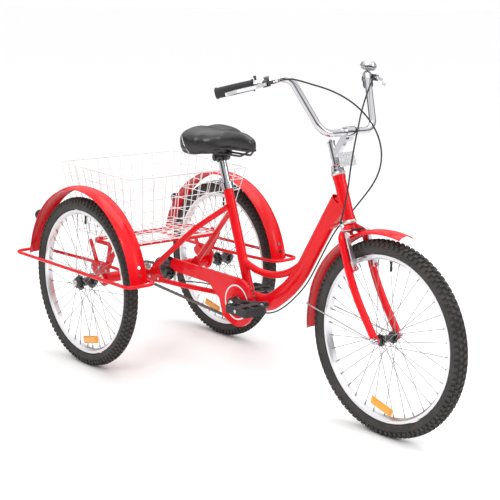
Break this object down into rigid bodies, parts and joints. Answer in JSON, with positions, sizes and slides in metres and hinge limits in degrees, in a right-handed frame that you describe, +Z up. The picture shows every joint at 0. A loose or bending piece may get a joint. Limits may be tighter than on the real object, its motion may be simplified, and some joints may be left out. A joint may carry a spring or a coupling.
{
  "type": "adult tricycle",
  "caption": "Adult tricycle with a step-through frame, raised handlebar, padded saddle, rear wire basket and mudguards.",
  "frame": {"origin": "on the ground under the bottom bracket, at the middle of the object's box", "axes": "+X forward, +Y to the rider's left, +Z up"},
  "size_m": [1.8719, 0.774, 1.1174],
  "materials": {
    "red_paint": "gloss enamel",
    "white_wire": "white coated wire",
    "chrome": "polished chrome",
    "steel": "plain steel",
    "alloy": "satin silver",
    "black_metal": "satin black",
    "tyre": "matt knobby rubber",
    "black_rubber": "matt rubber",
    "black_resin": "moulded resin",
    "vinyl": "black grained vinyl",
    "lens": "clear ribbed reflector",
    "reflector": "dark reflector"
  },
  "bodies": {
    "frame": {"head_tube": "red_paint", "down_tube": "red_paint", "cross_tube": "red_paint", "seat_tube": "red_paint", "rear_stays": "red_paint", "bracket_plates": "red_paint", "axle_housings": "red_paint", "basket_platform": "red_paint", "wheel_guard_loops": "red_paint", "rear_mudguards": "red_paint", "basket": "white_wire", "frame_bolts": "chrome", "frame_bearings": "chrome", "chain_guard": "red_paint", "chain": "black_metal", "brake_band": "black_metal", "rear_reflectors": "reflector", "rear_brake_cable": "black_rubber", "seat_clamp": "chrome"},
    "seat": {"seatpost": "chrome", "saddle_frame": "black_metal", "saddle_cushion": "vinyl"},
    "seat_lever": {"seat_clamp_lever": "chrome"},
    "crank": {"chainring": "steel", "crank_arms": "black_metal", "crank_axle": "steel"},
    "right_pedal": {"pedal_right": "black_resin"},
    "left_pedal": {"pedal_left": "black_resin"},
    "drive_wheel": {"rear_axle": "steel", "brake_drum": "black_metal", "rear_right_hub": "black_metal", "rear_right_spokes": "steel", "rear_right_rim": "alloy", "rear_right_tyre": "tyre"},
    "free_wheel": {"rear_left_hub": "black_metal", "rear_left_spokes": "steel", "rear_left_rim": "alloy", "rear_left_tyre": "tyre"},
    "freewheel": {"freewheel_sprocket": "steel"},
    "band_arm": {"band_brake_arm": "steel"},
    "steering": {"fork": "red_paint", "front_axle": "chrome", "front_mudguard": "red_paint", "stem": "chrome", "handlebar": "chrome", "grips": "black_rubber", "lever_bodies": "black_metal", "bell": "chrome", "front_reflector": "lens", "front_brake_cable": "black_rubber", "rear_brake_cable_loop": "black_rubber"},
    "front_wheel": {"front_hub": "black_metal", "front_spokes": "steel", "front_rim": "alloy", "front_tyre": "tyre"},
    "left_lever": {"brake_lever_left": "alloy"},
    "right_lever": {"brake_lever_right": "alloy"},
    "left_brake": {"front_brake_arm_left": "black_metal"},
    "right_brake": {"front_brake_arm_right": "black_metal"},
    "bell_thumb": {"bell_lever": "chrome"}
  },
  "joints": [
    {"name": "steering_turn", "type": "hinge", "parent": "frame", "child": "steering", "pos_m": [0.4336, 0, 0.70842], "axis": [-0.3557, 0, 0.9346], "range_deg": [-50, 50], "deforming": ["rear_brake_cable_loop"]},
    {"name": "front_wheel_spin", "type": "hinge", "parent": "steering", "child": "front_wheel", "pos_m": [0.631, 0, 0.305], "axis": [0, 1, 0], "continuous": true},
    {"name": "drive_wheel_spin", "type": "hinge", "parent": "frame", "child": "drive_wheel", "pos_m": [-0.5455, 0, 0.305], "axis": [0, 1, 0], "continuous": true},
    {"name": "free_wheel_spin", "type": "hinge", "parent": "frame", "child": "free_wheel", "pos_m": [-0.5455, 0, 0.305], "axis": [0, 1, 0], "continuous": true},
    {"name": "crank_spin", "type": "hinge", "parent": "frame", "child": "crank", "pos_m": [0, 0, 0.3], "axis": [0, 1, 0], "continuous": true},
    {"name": "freewheel_spin", "type": "hinge", "parent": "frame", "child": "freewheel", "pos_m": [-0.5455, 0, 0.305], "axis": [0, 1, 0], "continuous": true},
    {"name": "right_pedal_spin", "type": "hinge", "parent": "crank", "child": "right_pedal", "pos_m": [0.16297, -0.163, 0.32581], "axis": [0, 1, 0], "continuous": true},
    {"name": "left_pedal_spin", "type": "hinge", "parent": "crank", "child": "left_pedal", "pos_m": [-0.16297, 0.163, 0.27419], "axis": [0, 1, 0], "continuous": true},
    {"name": "left_lever_squeeze", "type": "hinge", "parent": "steering", "child": "left_lever", "pos_m": [0.32819, 0.23649, 1.06017], "axis": [-0.0743, 0.2511, 0.9651], "range_deg": [0, 12], "stiffness_Nm_per_rad": 0.6, "springref_deg": -2.86},
    {"name": "right_lever_squeeze", "type": "hinge", "parent": "steering", "child": "right_lever", "pos_m": [0.32819, -0.23649, 1.06017], "axis": [0.0743, 0.2511, -0.9651], "range_deg": [0, 12], "stiffness_Nm_per_rad": 0.6, "springref_deg": -2.86},
    {"name": "left_arm_close", "type": "hinge", "parent": "steering", "child": "left_brake", "pos_m": [0.53382, 0.044, 0.51117], "axis": [0.9346, 0, 0.3557], "range_deg": [0, 4.5], "deforming": ["front_brake_cable"]},
    {"name": "right_arm_close", "type": "hinge", "parent": "steering", "child": "right_brake", "pos_m": [0.53382, -0.044, 0.51117], "axis": [-0.9346, 0, -0.3557], "range_deg": [0, 4.5]},
    {"name": "band_arm_pull", "type": "hinge", "parent": "frame", "child": "band_arm", "pos_m": [-0.4835, 0.0405, 0.331], "axis": [0, -1, 0], "range_deg": [0, 10]},
    {"name": "bell_thumb_push", "type": "hinge", "parent": "steering", "child": "bell_thumb", "pos_m": [0.32781, 0.19845, 1.09439], "axis": [-0.0743, 0.2511, 0.9651], "range_deg": [0, 20], "stiffness_Nm_per_rad": 0.05},
    {"name": "seat_lever_open", "type": "hinge", "parent": "frame", "child": "seat_lever", "pos_m": [-0.15892, 0.018, 0.68368], "axis": [0, 0, -1], "range_deg": [0, 130]},
    {"name": "seat_height", "type": "slide", "parent": "frame", "child": "seat", "axis": [-0.3321, 0, 0.9432], "range_m": [-0.055, 0.05]}
  ],
  "couplings": [
    {"joint": "freewheel_spin", "follows": "crank_spin", "ratio": 2},
    {"joint": "left_arm_close", "follows": "left_lever_squeeze", "ratio": 0.375},
    {"joint": "right_arm_close", "follows": "left_lever_squeeze", "ratio": 0.375},
    {"joint": "band_arm_pull", "follows": "right_lever_squeeze", "ratio": 0.8333}
  ]
}
